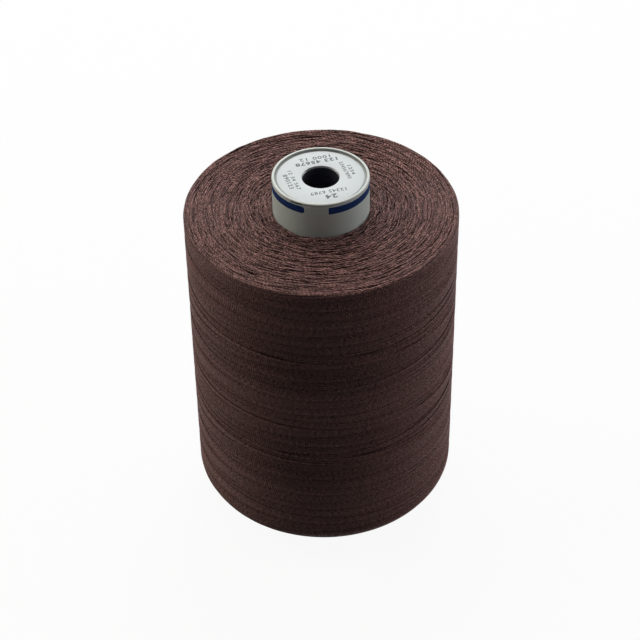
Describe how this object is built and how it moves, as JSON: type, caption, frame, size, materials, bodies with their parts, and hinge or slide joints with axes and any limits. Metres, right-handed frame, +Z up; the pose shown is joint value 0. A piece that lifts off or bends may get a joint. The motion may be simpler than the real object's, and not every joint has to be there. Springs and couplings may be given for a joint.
{
  "type": "thread spool",
  "caption": "Cross-wound cylindrical package of brown sewing thread on a plastic tube with end caps, a black spindle sleeve and a paper end label.",
  "frame": {"origin": "centre of the rim of the foot, on the surface the spool stands on", "axes": "+Z up along the spool's axis; -Y towards the front, where the reader of the label stands opposite"},
  "size_m": [0.0834, 0.0858, 0.125],
  "materials": {
    "tube_plastic": "satin light grey moulded plastic",
    "cap_plastic": "satin light grey moulded plastic",
    "sleeve_plastic": "glossy black plastic",
    "label_paper": "smooth white paper",
    "thread": "matt dark brown spun polyester thread"
  },
  "bodies": {
    "root": {"winding_tube": "tube_plastic", "top_cap": "cap_plastic", "foot_cap": "cap_plastic", "spindle_sleeve": "sleeve_plastic", "end_label": "label_paper", "thread_core": "thread", "thread_winding": "thread"}
  },
  "joints": []
}
